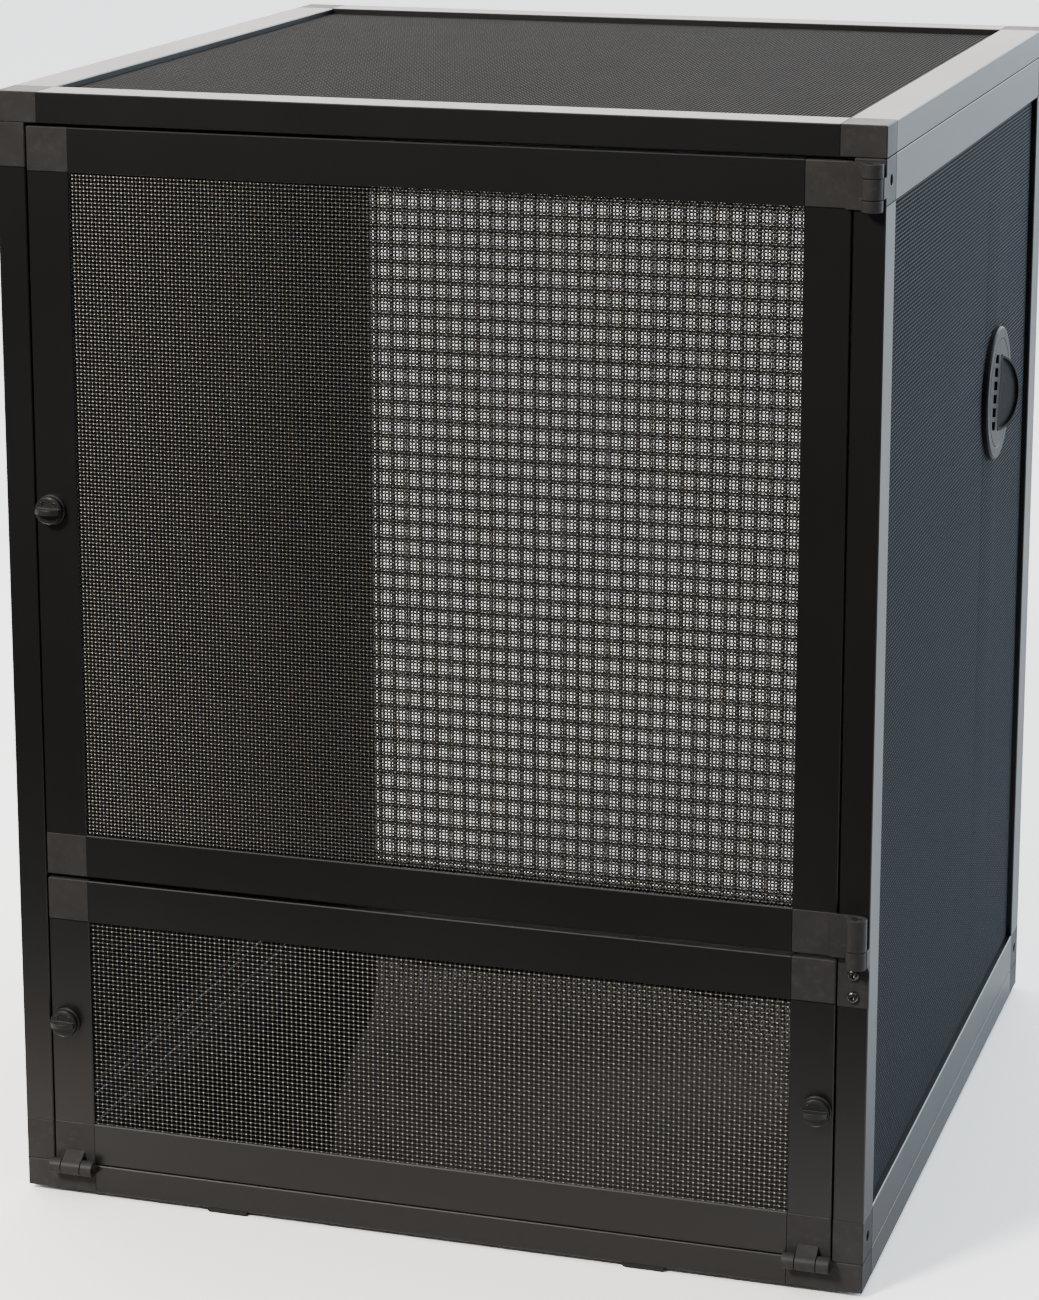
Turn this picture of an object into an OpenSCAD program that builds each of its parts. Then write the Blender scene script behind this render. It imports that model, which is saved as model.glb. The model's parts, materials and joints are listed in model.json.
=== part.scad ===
// Front-opening mesh terrarium: six framed panels of tube profile, joined by moulded corners, with an upper door
// hinged on its right side, a lower door hinged on its bottom edge, three turn latches and a cable port.
// Millimetres. Origin: on the plane that the feet stand on, at the middle of the width and of the depth, which is
// measured from the front of the hinges to the rear face. The front faces -Y, up is +Z.

/* [Cage] */
// Overall width
cage_w = 450; // [350:5:600]
// Overall depth, front face to rear face
cage_d = 450; // [350:5:600]
// Overall height without the feet
cage_h = 581.6; // [480:0.2:900]

/* [Frame profile] */
// Width of the profile, as seen on the face of a panel
rail_w = 22.5; // [21:0.5:26]
// Thickness of a panel frame
rail_t = 15.5; // [14.5:0.5:18]
// Thickness of the base frame
base_t = 15.4; // [13:0.2:16]
// Width of the hollow tube part of the profile
tube_w = 16; // [15:0.5:17]
// Wall of the tube
wall = 1.3; // [1:0.1:1.6]
// Thickness of the flange that frames the mesh
flange_t = 1.3; // [1:0.1:1.5]
// Width of the lip at the flange's edge
lip_w = 1.3; // [1:0.1:1.6]
// Small bevel along the outer edges
edge_c = 0.5; // [0.3:0.1:0.8]
// Reach of the small hook that keeps the spline in its groove
hook_w = 1.4; // [1:0.1:2]
// Thickness of that hook
hook_t = 1.2; // [1:0.1:1.6]

/* [Mesh] */
// Depth of the mesh behind the face of a side, back or lid panel
mesh_depth = 3.2; // [2.6:0.2:4]
// Depth of the mesh behind the face of a door
door_mesh_depth = 1.6; // [1.6:0.1:2.4]
// Thickness of the mesh
mesh_t = 0.8; // [0.6:0.1:1.2]
// Pitch of the lattice that stands for the fine mesh
net_pitch = 40; // [38:1:60]
// Width of one wire of that lattice
net_wire = 2; // [1.5:0.5:3]
// Width of the spline strips that hold the mesh
spline_w = 3.8; // [3:0.2:4.2]
// Thickness of the spline strips
spline_t = 3.6; // [3:0.2:4]
// Thickness of the floor sheet
floor_t = 1.5; // [1:0.5:3]
// Room around the edge of a mesh, spline or floor sheet
tuck = 0.3; // [0.2:0.1:0.5]

/* [Corners] */
// Length of the legs that plug into the tubes
leg_l = 22; // [14:1:30]
// Room around a leg in its tube
leg_fit = 0.15; // [0.1:0.05:0.3]
// Thickness of the ribs of a leg
leg_rib = 2.4; // [2:0.2:3.2]
// Width of the front corners of the base, post and door stile together
base_corner_w = 39; // [38.8:0.2:46]
// Side of the square pegs that join the panels
peg_w = 7; // [6:0.5:7]
// Length of those pegs
peg_l = 12; // [8:1:14]
// Room around a peg in its socket
peg_fit = 0.15; // [0.1:0.05:0.3]
// Radius of the counterbore for a corner screw
bore_r = 2.8; // [2.6:0.1:3.4]
// Depth of that counterbore
bore_h = 2.6; // [2:0.2:3]
// Radius of a screw shank
shank_r = 1.5; // [1.2:0.1:1.6]
// Bite of a rear corner screw in the back panel
rear_bite = 9; // [6:1:12]

/* [Feet] */
// Height of the feet
foot_h = 2.5; // [1.5:0.5:6]
// Width of a foot
foot_w = 22; // [14:1:30]
// Depth of a foot
foot_d = 15; // [10:1:20]
// Rounding of a foot's lower edges
foot_r = 1.6; // [0.5:0.1:2]

/* [Doors] */
// Gap between a door and the posts
door_gap = 0.8; // [0.8:0.1:2]
// Gap between the upper door and the lid
lid_gap = 1.6; // [1:0.1:3]
// Gap between the two doors
split_gap = 2.2; // [2:0.1:4]
// Gap between the lower door and the base
sill_gap = 0.6; // [0.5:0.1:2]
// Height of the upper door's lower edge above the underside of the base
split_h = 175.2; // [150:0.2:260]

/* [Upper hinges] */
// Radius of the knuckles
knuckle_r = 5.1; // [4.6:0.1:5.1]
// Distance of the hinge axis from the side of the cage
hinge_inset = 5.5; // [5.4:0.1:6.5]
// Gap between the knuckles and the post
knuckle_gap = 0.4; // [0.3:0.1:1]
// Gap between neighbouring knuckles
knuckle_slit = 0.3; // [0.2:0.1:0.6]
// Radius of the hinge pins
pin_r = 1.75; // [1.5:0.05:2]
// Radial clearance of a pin in its knuckles
pin_fit = 0.05; // [0.02:0.01:0.1]
// Height of the knuckle on the cage's top hinge corner
mid_knuckle_h = 9.8; // [8:0.2:12]
// Height of the door's knuckle above it
top_knuckle_h = 6.6; // [5:0.2:8]
// Height of the door's knuckle on the bottom hinge
low_knuckle_h = 16; // [12:0.5:18]
// Thickness of the hinge leaf
leaf_t = 1.6; // [1.2:0.1:2]
// Overlap of the leaf on the corner of the door
leaf_lap = 2.5; // [1.5:0.5:6]

/* [Hinge bracket] */
// Height of the bracket's plate
plate_h = 22.4; // [20:0.2:30]
// Thickness of the plate
plate_t = 2; // [1.6:0.1:3]
// Height of the knuckle above the plate
bracket_knuckle_h = 9; // [7:0.2:10]
// Distance between the two screws
screw_pitch = 11.4; // [9:0.2:13]
// Thickness of the step that joins the plate to its knuckle
web_t = 2.4; // [1.6:0.1:3]
// Radius of a screw head
head_r = 3.1; // [2.6:0.1:3.4]
// Height of a screw head
head_h = 2; // [1.4:0.1:2.6]

/* [Lower hinges] */
// Radius of the knuckles
sill_knuckle_r = 4.1; // [3.6:0.1:4.4]
// Length of the whole barrel
barrel_l = 24; // [20:0.5:26]
// Reach of the barrel past the side of the door
barrel_lap = 0.7; // [0:0.1:0.9]
// Length of the door's knuckle in its middle
barrel_mid_l = 10.6; // [8:0.2:14]
// Radius of the pins
sill_pin_r = 1.5; // [1.2:0.05:1.8]
// Height of the axis below the top of the base
sill_axis_drop = 0.3; // [0:0.1:1]
// Height of the door's leaf above the axis
sill_leaf_h = 7.3; // [6:0.1:10]

/* [Latches] */
// Distance of a latch from the edge of its door
latch_inset = 8.3; // [7.8:0.1:9]
// Radius of the knob
knob_r = 7.8; // [6:0.1:7.8]
// Height of the knob's disc
knob_h = 5; // [3:0.5:7]
// Height of the grip above the disc
grip_h = 4.5; // [3:0.5:7]
// Thickness of the grip
grip_t = 2.8; // [2:0.2:4]
// Gap between the knob and the face of its door
knob_gap = 0.3; // [0.3:0.1:0.6]
// Radius of the shaft
shaft_r = 3; // [2.4:0.1:3.4]
// Radial clearance of the shaft in the stile
shaft_fit = 0.06; // [0.03:0.01:0.1]
// Thickness of the cam
cam_t = 2.4; // [1.5:0.1:3]
// Reach of the cam from its shaft
cam_reach = 14.3; // [12:0.1:15]
// Half width of the cam
cam_r = 4.6; // [4:0.1:5]
// Gap between the cam and the back of the post
cam_gap = 0.4; // [0.3:0.1:0.8]

/* [Port] */
// Distance of the port behind the middle of the cage
port_y = 101; // [-100:1:120]
// Height of the port above the underside of the base
port_h = 391.6; // [120:0.2:400]
// Radius of the flange
port_r = 37; // [35:0.5:40]
// Thickness of the flange
port_t = 3.5; // [2.5:0.1:5]
// Radius of the turning cap
cap_r = 30; // [28:0.5:31]
// Radial clearance of the cap in its ring
cap_fit = 0.08; // [0.04:0.01:0.1]
// Depth of the sleeve behind the flange
sleeve_h = 8; // [6:0.5:9]
// Bevel on both sides of the gap between the cap and its ring
rim_c = 0.5; // [0.2:0.1:0.8]
// Wall of the sleeve
sleeve_wall = 2.2; // [1.6:0.1:3]
// Thickness of the cap's plate
cap_t = 5; // [4.6:0.1:6]
// Turn of the cap as photographed
cap_turn = 11; // [0:1:45]
// Radius of the flap
flap_r = 21; // [18:0.5:22]
// Thickness of the flap
flap_t = 2.6; // [2:0.1:3]
// Width of the raised rim of the flap
flap_rim = 1.5; // [1:0.1:2.5]
// Depth of the dish inside that rim
flap_dish = 1.5; // [0.5:0.1:1.6]
// Opening of the flap as photographed
flap_open = 23; // [0:1:60]
// Room around the flap in its recess
flap_gap = 0.4; // [0.3:0.1:0.8]
// Radius of the flap's trunnions
trunnion_r = 0.9; // [0.7:0.05:1]
// Number of vent slots in the cap
slot_count = 6; // [4:1:7]
// Height of a vent slot
slot_h = 4.8; // [3:0.2:5.4]
// Length of a vent slot
slot_l = 10; // [5:0.2:11]
// Distance of the slots in front of the cap's diameter
slot_x = 14; // [12:0.5:17]
// Pitch of the vent slots
slot_pitch = 7.4; // [6.4:0.2:8]

/* [Hidden] */
$fn = 64;

metal = [0.10, 0.10, 0.10];
plastic = [0.20, 0.20, 0.21];
wire = [0.24, 0.27, 0.30];
rubber = [0.06, 0.06, 0.06];
steel = [0.55, 0.55, 0.56];

// Shallow overlap that makes a cut run clean through a face
over = 1;

// Outer faces of the cage
side_x = cage_w / 2;
mid_y = (2 * knuckle_r + knuckle_gap) / 2;
face_y = mid_y - cage_d / 2;
rear_y = mid_y + cage_d / 2;
base_top = foot_h + base_t;
lid_top = foot_h + cage_h;
lid_bottom = lid_top - rail_t;

// Sizes of the panels, as width and height of their frames
side_ph = lid_bottom - base_top;
back_pw = cage_w - 2 * rail_t;
door_pw = cage_w - 2 * rail_t - 2 * door_gap;
upper_z = foot_h + split_h;
upper_ph = lid_bottom - lid_gap - upper_z;
lower_z = base_top + sill_gap;
lower_ph = upper_z - split_gap - lower_z;
door_x = door_pw / 2;

// Height of the hook over what lies in the groove
mesh_backing = mesh_t + spline_t + tuck;
floor_backing = floor_t + tuck;

// Upper hinge axis
hinge_x = side_x - hinge_inset;
hinge_y = face_y - knuckle_r - knuckle_gap;

// Lower hinge axis and the middle of each barrel
sill_y = face_y - sill_knuckle_r - knuckle_gap;
sill_z = base_top - sill_axis_drop;
barrel_x = door_x + barrel_lap - barrel_l / 2;

// Latch places
latch_x = door_x - latch_inset;
upper_latch_z = upper_z + upper_ph / 2;
lower_latch_z = lower_z + lower_ph / 2;

// Inner face of the tubes of the posts, which the cams turn behind
post_back = face_y + max(tube_w, rail_t);

// Port planes, from the mesh outwards
port_seat = side_x - mesh_depth;
port_face = port_seat + port_t;
port_z = foot_h + port_h;
ring_bore = cap_r + cap_fit;
sleeve_r = ring_bore + sleeve_wall;

// Puts a panel, drawn with its outer face down on the XY plane, in its place
module on_base() { translate([-side_x, face_y, foot_h]) children(); }
module on_lid() { translate([-side_x, face_y, lid_top]) mirror([0, 0, 1]) children(); }
module on_left() { translate([-side_x, face_y, base_top]) rotate([90, 0, 90]) children(); }
module on_right() { mirror([1, 0, 0]) on_left() children(); }
module on_back() { translate([-back_pw / 2, rear_y, base_top]) rotate([90, 0, 0]) children(); }
module on_upper_door() { translate([-door_x, face_y, upper_z]) mirror([0, 1, 0]) rotate([90, 0, 0]) children(); }
module on_lower_door() { translate([-door_x, face_y, lower_z]) mirror([0, 1, 0]) rotate([90, 0, 0]) children(); }

// Draws what follows and its mirror image across the middle of a length
module both_x(length) {
    children();
    translate([length, 0, 0]) mirror([1, 0, 0]) children();
}
module both_y(length) {
    children();
    translate([0, length, 0]) mirror([0, 1, 0]) children();
}

// Rectangle with small bevels at its corners
module bevelled(w, h, c = edge_c) {
    polygon([[c, 0], [w - c, 0], [w, c], [w, h - c], [w - c, h], [c, h], [0, h - c], [0, c]]);
}

// Block with small bevels along all its edges
module block(w, d, h) {
    intersection() {
        linear_extrude(h) bevelled(w, d);
        rotate([90, 0, 90]) linear_extrude(w) bevelled(d, h);
        translate([0, d, 0]) rotate([90, 0, 0]) linear_extrude(d) bevelled(w, h);
    }
}

// Section of the profile: x runs from its outer edge to the opening, y from its outer face inwards
module rail_section(t, depth, backing) {
    hook = depth + backing;
    difference() {
        polygon([
            [edge_c, 0], [rail_w - edge_c, 0], [rail_w, edge_c], [rail_w, depth], [rail_w - lip_w, depth],
            [rail_w - lip_w, flange_t], [tube_w, flange_t],
            [tube_w, hook], [tube_w + hook_w, hook], [tube_w + hook_w, hook + hook_t], [tube_w, hook + hook_t],
            [tube_w, t - edge_c], [tube_w - edge_c, t], [edge_c, t], [0, t - edge_c], [0, edge_c]
        ]);
        translate([wall, wall]) square([tube_w - 2 * wall, t - 2 * wall]);
    }
}

// A rail along the lower edge of a panel, and a stile along its left edge
module rail(start, end, t = rail_t, depth = mesh_depth, backing = mesh_backing) {
    translate([start, 0, 0]) rotate([90, 0, 90]) linear_extrude(end - start) rail_section(t, depth, backing);
}
module stile(start, end, t = rail_t, depth = mesh_depth, backing = mesh_backing) {
    translate([0, end, 0]) rotate([90, 0, 0]) linear_extrude(end - start) rail_section(t, depth, backing);
}

// Ribbed section of a corner's leg, which fills the tube
module leg_section(t) {
    low = wall + leg_fit;
    w = tube_w - 2 * low;
    h = t - 2 * low;
    translate([low, low]) difference() {
        square([w, h]);
        for (side = [0, 1])
            translate([leg_rib, side * (h + leg_rib) / 2 - side * over / 2 - (1 - side) * over / 2])
                square([w - 2 * leg_rib, (h - leg_rib) / 2 + over / 2]);
    }
}

// A moulded corner at the lower left of a panel: a block, cut back for the mesh, with a leg along each side
module corner(w = rail_w, t = rail_t, depth = mesh_depth) {
    difference() {
        block(w, rail_w, t);
        translate([tube_w, tube_w, depth]) cube([w, rail_w, t]);
    }
    translate([w - over, 0, 0]) rotate([90, 0, 90]) linear_extrude(leg_l + over) leg_section(t);
    translate([0, rail_w + leg_l, 0]) rotate([90, 0, 0]) linear_extrude(leg_l + over) leg_section(t);
}

// A flat lattice of wires inside a closed border, the border lying under the flange
module net_outline(pw, ph) {
    edge = tube_w + tuck;
    span_p = pw - 2 * rail_w;
    span_q = ph - 2 * rail_w;
    cols = max(1, round(span_p / net_pitch));
    rows = max(1, round(span_q / net_pitch));
    gap_p = (span_p - (cols - 1) * net_wire) / cols;
    gap_q = (span_q - (rows - 1) * net_wire) / rows;
    difference() {
        translate([edge, edge]) square([pw - 2 * edge, ph - 2 * edge]);
        for (i = [0:cols - 1], j = [0:rows - 1])
            translate([rail_w + i * (gap_p + net_wire), rail_w + j * (gap_q + net_wire)]) square([gap_p, gap_q]);
    }
}
module net(pw, ph, depth = mesh_depth) {
    translate([0, 0, depth]) linear_extrude(mesh_t) net_outline(pw, ph);
}

// Four strips that press the mesh into its groove
module spline(pw, ph, depth = mesh_depth) {
    edge = tube_w + tuck;
    translate([0, 0, depth + mesh_t]) {
        both_y(ph) translate([edge, edge, 0]) cube([pw - 2 * edge, spline_w, spline_t]);
        both_x(pw) translate([edge, edge + spline_w, 0]) cube([spline_w, ph - 2 * (edge + spline_w), spline_t]);
    }
}

// Square peg that rises from the base or hangs from the lid into a side panel's corner, with a hole for its screw
module peg() {
    translate([rail_t / 2, rail_w / 2, 0]) difference() {
        translate([-peg_w / 2, -peg_w / 2, -over]) cube([peg_w, peg_w, peg_l + over]);
        translate([-peg_w, 0, rail_w / 2]) rotate([0, 90, 0]) cylinder(r = shank_r + leg_fit / 2, h = 2 * peg_w);
    }
}

// Socket and screw hole of a side panel's corner, drawn in that panel's frame, deep enough to go right through
module side_corner_cuts() {
    room = peg_w + 2 * peg_fit;
    translate([rail_w / 2 - room / 2, -over, rail_t / 2 - room / 2]) cube([room, peg_l + peg_fit + over, room]);
    translate([rail_w / 2, rail_w / 2, -over]) {
        cylinder(r = bore_r, h = bore_h + over);
        cylinder(r = shank_r + leg_fit / 2, h = rail_t + 2 * over);
    }
}
module side_corner() {
    difference() {
        corner();
        side_corner_cuts();
    }
}

// Base frame
module base_front_rail() {
    color(metal) on_base()
        rail(base_corner_w, cage_w - base_corner_w, t = base_t, backing = floor_backing);
}
module base_rear_rail() {
    color(metal) on_base() translate([0, cage_d, 0]) mirror([0, 1, 0])
        rail(rail_w, cage_w - rail_w, t = base_t, backing = floor_backing);
}
module base_side_rails() {
    color(metal) on_base() both_x(cage_w) stile(rail_w, cage_d - rail_w, t = base_t, backing = floor_backing);
}
module base_rear_corners() {
    color(plastic) on_base() both_x(cage_w) translate([0, cage_d, 0]) mirror([0, 1, 0]) {
        corner(t = base_t);
        translate([0, 0, base_t]) peg();
    }
}

// Outer knuckles of a lower hinge: two short barrels whose webs stand on the front of the base
module sill_knuckles() {
    outer_l = (barrel_l - barrel_mid_l) / 2 - knuckle_slit;
    difference() {
        for (side = [-1, 1]) {
            x0 = side < 0 ? -barrel_l / 2 : barrel_l / 2 - outer_l;
            translate([x0, sill_y, sill_z]) {
                rotate([0, 90, 0]) cylinder(r = sill_knuckle_r, h = outer_l);
                translate([0, 0, -sill_knuckle_r]) cube([outer_l, face_y - sill_y, sill_knuckle_r]);
            }
        }
        translate([-barrel_l, sill_y, sill_z]) rotate([0, 90, 0])
            cylinder(r = sill_pin_r + pin_fit, h = 2 * barrel_l);
        translate([barrel_l / 2 - pin_recess, sill_y, sill_z]) rotate([0, 90, 0])
            cylinder(r = sill_head_r + pin_fit, h = barrel_l);
    }
}
module base_left_hinge_corner() {
    color(plastic) {
        on_base() {
            corner(w = base_corner_w, t = base_t);
            translate([0, 0, base_t]) peg();
        }
        translate([-barrel_x, 0, 0]) sill_knuckles();
    }
}
module base_right_hinge_corner() {
    color(plastic) {
        mirror([1, 0, 0]) on_base() {
            corner(w = base_corner_w, t = base_t);
            translate([0, 0, base_t]) peg();
        }
        translate([barrel_x, 0, 0]) sill_knuckles();
    }
}
module floor_sheet() {
    edge = tube_w + tuck;
    color(rubber) on_base() translate([edge, edge, mesh_depth])
        cube([cage_w - 2 * edge, cage_d - 2 * edge, floor_t]);
}

// Low pads a quarter of the width in from each side, under the front and rear rails
module foot() {
    n = 8;
    round_r = min(foot_r, foot_h - 0.2);
    half = foot_w / 2;
    arc = [for (i = [0:n]) [half - round_r + round_r * sin(90 * i / n), round_r - round_r * cos(90 * i / n)]];
    mirrored = [for (i = [n:-1:0]) [-arc[i][0], arc[i][1]]];
    translate([0, foot_d / 2, 0]) rotate([90, 0, 0]) linear_extrude(foot_d)
        polygon(concat(arc, [[half, foot_h], [-half, foot_h]], mirrored));
}
module feet() {
    color(rubber) for (x = [-cage_w / 4, cage_w / 4], side = [-1, 1])
        translate([x, mid_y + side * (cage_d / 2 - tube_w / 2), 0]) foot();
}

// Left side panel
module left_front_post() { color(metal) on_left() stile(rail_w, side_ph - rail_w); }
module left_rear_post() {
    color(metal) on_left() translate([cage_d, 0, 0]) mirror([1, 0, 0]) stile(rail_w, side_ph - rail_w);
}
module left_panel_rails() { color(metal) on_left() both_y(side_ph) rail(rail_w, cage_d - rail_w); }
module left_panel_corners() { color(plastic) on_left() both_x(cage_d) both_y(side_ph) side_corner(); }
module left_mesh() { color(wire) on_left() net(cage_d, side_ph); }
module left_spline() { color(rubber) on_left() spline(cage_d, side_ph); }

// Right side panel: the front post has a seat for the hinge bracket, and the mesh has a hole for the port
module right_front_post() {
    color(metal) difference() {
        on_right() stile(rail_w, side_ph - rail_w);
        translate([side_x - rail_t - over, face_y - over, plate_z])
            cube([rail_t + 2 * over, plate_t + over, plate_h]);
        bracket_screw_places() translate([0, 0, -2 * rail_t]) cylinder(r = shank_r + leg_fit / 2, h = 2 * rail_t);
    }
}
module right_rear_post() {
    color(metal) on_right() translate([cage_d, 0, 0]) mirror([1, 0, 0]) stile(rail_w, side_ph - rail_w);
}
module right_panel_rails() { color(metal) on_right() both_y(side_ph) rail(rail_w, cage_d - rail_w); }
module right_panel_corners() {
    color(plastic) on_right() {
        side_corner();
        translate([cage_d, 0, 0]) mirror([1, 0, 0]) both_y(side_ph) side_corner();
    }
}
module right_hinge_corner() {
    color(plastic) {
        on_right() translate([0, side_ph, 0]) mirror([0, 1, 0]) side_corner();
        cage_knuckle(top_hinge_z - top_knuckle_h - knuckle_slit - mid_knuckle_h, mid_knuckle_h, edge_c);
    }
}
module right_mesh() {
    color(wire) on_right() translate([0, 0, mesh_depth]) linear_extrude(mesh_t) difference() {
        union() {
            net_outline(cage_d, side_ph);
            translate([cage_d / 2 + port_y, port_z - base_top]) circle(r = port_r - 1);
        }
        translate([cage_d / 2 + port_y, port_z - base_top]) circle(r = sleeve_r + tuck);
    }
}
module right_spline() { color(rubber) on_right() spline(cage_d, side_ph); }

// Back panel
module back_stiles() { color(metal) on_back() both_x(back_pw) stile(rail_w, side_ph - rail_w); }
module back_rails() { color(metal) on_back() both_y(side_ph) rail(rail_w, back_pw - rail_w); }
module back_corners() {
    color(plastic) on_back() both_x(back_pw) both_y(side_ph) difference() {
        corner();
        translate([-over, rail_w / 2, rail_w / 2]) rotate([0, 90, 0])
            cylinder(r = shank_r + leg_fit / 2, h = rear_bite + 2 * over);
    }
}
module back_mesh() { color(wire) on_back() net(back_pw, side_ph); }
module back_spline() { color(rubber) on_back() spline(back_pw, side_ph); }

// Lid
module lid_front_rear_rails() { color(metal) on_lid() both_y(cage_d) rail(rail_w, cage_w - rail_w); }
module lid_side_rails() { color(metal) on_lid() both_x(cage_w) stile(rail_w, cage_d - rail_w); }
module lid_corners() {
    color(plastic) on_lid() both_x(cage_w) both_y(cage_d) {
        corner();
        translate([0, 0, rail_t]) peg();
    }
}
module lid_mesh() { color(wire) on_lid() net(cage_w, cage_d); }
module lid_spline() { color(rubber) on_lid() spline(cage_w, cage_d); }

// Upper hinges. The door's knuckles stand on a leaf to the left of the axis, the cage's on a web to its right.
top_hinge_z = upper_z + upper_ph;
low_hinge_z = upper_z + rail_w;
pin_recess = 1.4;
pin_head_r = 2.6;
pin_head_h = 1;
sill_head_r = 2.4;

module knuckle_bore(z, h) {
    translate([hinge_x, hinge_y, z - over]) cylinder(r = pin_r + pin_fit, h = h + 2 * over);
}
module cage_knuckle(z, h, bed) {
    difference() {
        translate([hinge_x, hinge_y, z]) {
            cylinder(r = knuckle_r, h = h);
            cube([side_x - hinge_x, face_y - hinge_y + bed, h]);
        }
        knuckle_bore(z, h);
    }
}
module door_knuckle(z, h, recessed) {
    web_y = face_y - knuckle_gap / 2;
    boss_w = knuckle_r + leaf_t;
    difference() {
        translate([hinge_x, hinge_y, z]) {
            cylinder(r = knuckle_r, h = h);
            translate([-knuckle_r, 0, 0]) cube([knuckle_r, web_y - hinge_y, h]);
            translate([-boss_w, web_y - leaf_t - hinge_y - 1, 0]) cube([boss_w, leaf_t + 1, h]);
        }
        knuckle_bore(z, h);
        if (recessed)
            translate([hinge_x, hinge_y, z + h - pin_recess]) cylinder(r = pin_head_r + pin_fit, h = pin_recess + over);
    }
}
// The leaf lies on the corner, crosses the gap and the post clear of them, and stops short of the cage's knuckle
module leaf(z, h) {
    x0 = door_x - leaf_lap;
    x1 = hinge_x - knuckle_r - knuckle_gap;
    translate([x0, face_y - knuckle_gap / 2 - leaf_t, z]) cube([x1 - x0, leaf_t, h]);
    translate([x0, face_y - leaf_t, z]) cube([leaf_lap - edge_c, leaf_t + edge_c, h]);
}
module upper_door_top_hinge_corner() {
    leaf_z = top_hinge_z - rail_w;
    low_h = rail_w - top_knuckle_h - mid_knuckle_h - 2 * knuckle_slit;
    color(plastic) {
        on_upper_door() translate([door_pw, upper_ph, 0]) rotate([0, 0, 180]) corner(depth = door_mesh_depth);
        leaf(leaf_z, rail_w);
        door_knuckle(top_hinge_z - top_knuckle_h, top_knuckle_h, true);
        door_knuckle(leaf_z, low_h, false);
    }
}
module upper_door_bottom_hinge_corner() {
    knuckle_z = low_hinge_z - low_knuckle_h;
    color(plastic) {
        on_upper_door() translate([door_pw, 0, 0]) mirror([1, 0, 0]) corner(depth = door_mesh_depth);
        leaf(upper_z + edge_c, rail_w - edge_c);
        door_knuckle(knuckle_z, low_knuckle_h, true);
    }
}
module upper_hinge_pins() {
    bottom_pin_z = plate_z + plate_h;
    color(steel) {
        hinge_pin(top_hinge_z - rail_w, rail_w - pin_recess);
        hinge_pin(bottom_pin_z, low_hinge_z - pin_recess - bottom_pin_z);
    }
}
module hinge_pin(z, h) {
    translate([hinge_x, hinge_y, z]) {
        cylinder(r = pin_r, h = h);
        translate([0, 0, h]) cylinder(r = pin_head_r, h = pin_head_h);
    }
}

// Bracket that carries the upper door's lower hinge, screwed flush into the front of the right post
plate_z = low_hinge_z - low_knuckle_h - knuckle_slit - bracket_knuckle_h - plate_h;
module bracket_screw_places() {
    for (side = [-1, 1])
        translate([side_x - rail_t / 2, face_y, plate_z + plate_h / 2 + side * screw_pitch / 2])
            rotate([90, 0, 0]) children();
}
module hinge_bracket() {
    color(plastic) {
        difference() {
            translate([side_x - rail_t, face_y, plate_z]) cube([rail_t, plate_t, plate_h]);
            bracket_screw_places() translate([0, 0, -rail_t]) cylinder(r = shank_r + leg_fit / 2, h = 2 * rail_t);
        }
        translate([hinge_x, face_y - web_t, plate_z + plate_h - web_t])
            cube([side_x - hinge_x, web_t + plate_t, web_t]);
        cage_knuckle(plate_z + plate_h, bracket_knuckle_h, 0);
    }
}
// Pan-head screw with a cross recess, its head standing on the face and its shank going inwards
module pan_screw(head, high, shank_l) {
    difference() {
        rotate_extrude() polygon(concat(
            [[0, -shank_l], [shank_r, -shank_l], [shank_r, 0], [head, 0]],
            [for (i = [0:8]) [head - high * (1 - cos(90 * i / 8)) * 0.8, high * sin(90 * i / 8)]],
            [[0, high]]));
        for (turn = [0, 90]) rotate([0, 0, turn])
            translate([-head * 0.55, -head * 0.12, high * 0.4]) cube([head * 1.1, head * 0.24, high]);
    }
}
module bracket_screws() {
    color(steel) bracket_screw_places() pan_screw(head_r, head_h, tube_w - wall / 2);
}

// Pins of the lower hinges
module lower_hinge_pins() {
    color(steel) for (side = [-1, 1])
        translate([side * barrel_x - barrel_l / 2, sill_y, sill_z]) rotate([0, 90, 0]) {
            cylinder(r = sill_pin_r, h = barrel_l - pin_recess);
            translate([0, 0, barrel_l - pin_recess]) cylinder(r = sill_head_r, h = pin_head_h);
        }
}

// Upper door
module upper_door_left_stile() {
    color(metal) difference() {
        on_upper_door() stile(rail_w, upper_ph - rail_w, depth = door_mesh_depth);
        latch_bore(-latch_x, upper_latch_z);
    }
}
module upper_door_right_stile() {
    color(metal) on_upper_door() translate([door_pw, 0, 0]) mirror([1, 0, 0])
        stile(rail_w, upper_ph - rail_w, depth = door_mesh_depth);
}
module upper_door_rails() {
    color(metal) on_upper_door() both_y(upper_ph) rail(rail_w, door_pw - rail_w, depth = door_mesh_depth);
}
module upper_door_corners() {
    color(plastic) on_upper_door() both_y(upper_ph) corner(depth = door_mesh_depth);
}
module upper_door_mesh() { color(wire) on_upper_door() net(door_pw, upper_ph, door_mesh_depth); }
module upper_door_spline() { color(rubber) on_upper_door() spline(door_pw, upper_ph, door_mesh_depth); }

// Lower door
module lower_door_stiles() {
    color(metal) difference() {
        on_lower_door() both_x(door_pw) stile(rail_w, lower_ph - rail_w, depth = door_mesh_depth);
        latch_bore(-latch_x, lower_latch_z);
        latch_bore(latch_x, lower_latch_z);
    }
}
module lower_door_rails() {
    color(metal) on_lower_door() both_y(lower_ph) rail(rail_w, door_pw - rail_w, depth = door_mesh_depth);
}
module lower_door_corners() {
    color(plastic) on_lower_door() both_x(door_pw) translate([0, lower_ph, 0]) mirror([0, 1, 0])
        corner(depth = door_mesh_depth);
}
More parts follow.
